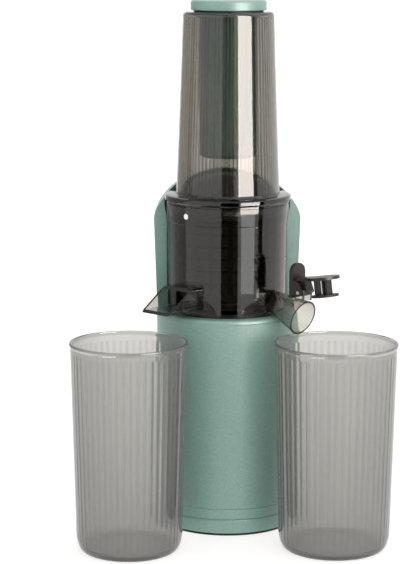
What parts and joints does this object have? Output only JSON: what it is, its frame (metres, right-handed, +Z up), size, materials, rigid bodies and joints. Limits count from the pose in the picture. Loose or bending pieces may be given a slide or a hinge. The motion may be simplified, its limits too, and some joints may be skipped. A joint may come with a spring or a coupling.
{
  "type": "cold press juicer",
  "caption": "Upright slow juicer: round base with a rear tower, smoked drum with spout and pulp duct, tall fluted hopper with pusher, drip stopper, and two tumblers.",
  "frame": {"origin": "centre of the foot ring's underside, on the column's axis, at table level", "axes": "+Z up along the column, -Y to the front where both spouts point, +X to the right as seen from the front"},
  "size_m": [0.2413, 0.1845, 0.4013],
  "materials": {
    "green_shell": "satin sage green with a fine speckle",
    "smoked_clear": "clear smoked plastic, glossy",
    "black_rubber": "matt silicone",
    "black_plastic": "fine satin",
    "white_mark": "matt",
    "board": "solder mask",
    "steel": "brushed",
    "laminations": "dark",
    "copper": "enamelled wire",
    "aluminium": "extruded",
    "gear_nylon": "nylon"
  },
  "bodies": {
    "base": {"base_housing": "green_shell", "base_band": "green_shell", "base_cover": "green_shell", "foot_ring": "black_rubber", "cover_screws": "steel", "upper_housing": "green_shell", "deck_screws": "steel", "shaft_seal": "black_rubber", "gearbox_housing": "black_plastic", "ring_gear": "steel", "motor_plate": "steel", "output_bearing": "steel", "gearbox_screws": "steel", "motor_screws": "steel", "motor_can": "steel", "motor_magnets": "laminations", "motor_end_bell": "black_plastic", "carbon_brushes": "laminations", "rotor_bearings": "steel", "circuit_board": "board", "board_capacitor": "black_plastic", "board_heatsink": "aluminium", "switch_housing": "black_plastic", "cord_gland": "black_rubber", "reed_switch": "black_plastic"},
    "rotor": {"rotor_shaft": "steel", "pinion": "steel", "armature_core": "laminations", "armature_windings": "copper", "commutator": "copper", "cooling_fan": "black_plastic"},
    "first_stage": {"first_carrier": "steel"},
    "output_stage": {"output_carrier": "steel"},
    "drum": {"drum": "smoked_clear", "alignment_dot": "white_mark", "drum_seal": "black_rubber", "pulp_channel": "black_rubber", "hinge_pin": "steel", "strainer_frame": "black_plastic", "strainer_mesh": "steel"},
    "auger": {"auger": "black_plastic", "auger_socket": "steel"},
    "lid": {"hopper": "smoked_clear", "lid_gasket": "black_rubber", "lid_magnet": "laminations"},
    "pusher": {"pusher_cap": "green_shell", "pusher_body": "green_shell", "pusher_ring": "black_rubber"},
    "stopper": {"stopper_lever": "black_plastic", "stopper_seal": "black_rubber"},
    "rocker": {"switch_rocker": "black_plastic"},
    "pulp_cup": {"pulp_cup": "smoked_clear"},
    "juice_cup": {"juice_cup": "smoked_clear"},
    "stage1_planet_1": {"stage1_planet_1": "gear_nylon"},
    "stage1_planet_2": {"stage1_planet_2": "gear_nylon"},
    "stage1_planet_3": {"stage1_planet_3": "gear_nylon"},
    "stage2_planet_1": {"stage2_planet_1": "gear_nylon"},
    "stage2_planet_2": {"stage2_planet_2": "gear_nylon"},
    "stage2_planet_3": {"stage2_planet_3": "gear_nylon"}
  },
  "joints": [
    {"name": "rotor_spin", "type": "hinge", "parent": "base", "child": "rotor", "pos_m": [0, 0, 0.07], "axis": [0, 0, 1], "continuous": true},
    {"name": "first_stage_spin", "type": "hinge", "parent": "base", "child": "first_stage", "pos_m": [0, 0, 0.13], "axis": [0, 0, 1], "continuous": true},
    {"name": "output_spin", "type": "hinge", "parent": "base", "child": "output_stage", "pos_m": [0, 0, 0.15], "axis": [0, 0, 1], "continuous": true},
    {"name": "stage1_planet_1_spin", "type": "hinge", "parent": "first_stage", "child": "stage1_planet_1", "pos_m": [0.015, 0, 0.1246], "axis": [0, 0, 1], "continuous": true},
    {"name": "stage1_planet_2_spin", "type": "hinge", "parent": "first_stage", "child": "stage1_planet_2", "pos_m": [-0.0075, 0.01299, 0.1246], "axis": [0, 0, 1], "continuous": true},
    {"name": "stage1_planet_3_spin", "type": "hinge", "parent": "first_stage", "child": "stage1_planet_3", "pos_m": [-0.0075, -0.01299, 0.1246], "axis": [0, 0, 1], "continuous": true},
    {"name": "stage2_planet_1_spin", "type": "hinge", "parent": "output_stage", "child": "stage2_planet_1", "pos_m": [0.015, 0, 0.137], "axis": [0, 0, 1], "continuous": true},
    {"name": "stage2_planet_2_spin", "type": "hinge", "parent": "output_stage", "child": "stage2_planet_2", "pos_m": [-0.0075, 0.01299, 0.137], "axis": [0, 0, 1], "continuous": true},
    {"name": "stage2_planet_3_spin", "type": "hinge", "parent": "output_stage", "child": "stage2_planet_3", "pos_m": [-0.0075, -0.01299, 0.137], "axis": [0, 0, 1], "continuous": true},
    {"name": "drum_lift", "type": "slide", "parent": "base", "child": "drum", "axis": [0, 0, 1], "range_m": [0, 0.1]},
    {"name": "auger_spin", "type": "hinge", "parent": "drum", "child": "auger", "pos_m": [0, 0, 0.2], "axis": [0, 0, 1], "continuous": true},
    {"name": "lid_twist", "type": "hinge", "parent": "drum", "child": "lid", "pos_m": [0, 0, 0.2489], "axis": [0, 0, 1], "range_deg": [0, 30]},
    {"name": "pusher_lift", "type": "slide", "parent": "lid", "child": "pusher", "axis": [0, 0, 1], "range_m": [0, 0.11]},
    {"name": "stopper_hinge", "type": "hinge", "parent": "drum", "child": "stopper", "pos_m": [0.0548, -0.0548, 0.1885], "axis": [0.7071, 0.7071, 0], "range_deg": [0, 116.5]},
    {"name": "rocker_tilt", "type": "hinge", "parent": "base", "child": "rocker", "pos_m": [0, 0.049, 0.056], "axis": [1, 0, 0], "range_deg": [-10, 10]},
    {"name": "pulp_cup_slide", "type": "slide", "parent": "base", "child": "pulp_cup", "axis": [-0.7071, -0.7071, 0], "range_m": [0, 0.1]},
    {"name": "juice_cup_slide", "type": "slide", "parent": "base", "child": "juice_cup", "axis": [0.7071, -0.7071, 0], "range_m": [0, 0.1]}
  ],
  "couplings": [
    {"joint": "first_stage_spin", "follows": "rotor_spin", "ratio": 0.2},
    {"joint": "output_spin", "follows": "rotor_spin", "ratio": 0.04},
    {"joint": "auger_spin", "follows": "rotor_spin", "ratio": 0.04},
    {"joint": "stage1_planet_1_spin", "follows": "rotor_spin", "ratio": -0.53333},
    {"joint": "stage1_planet_2_spin", "follows": "rotor_spin", "ratio": -0.53333},
    {"joint": "stage1_planet_3_spin", "follows": "rotor_spin", "ratio": -0.53333},
    {"joint": "stage2_planet_1_spin", "follows": "rotor_spin", "ratio": -0.10667},
    {"joint": "stage2_planet_2_spin", "follows": "rotor_spin", "ratio": -0.10667},
    {"joint": "stage2_planet_3_spin", "follows": "rotor_spin", "ratio": -0.10667}
  ]
}
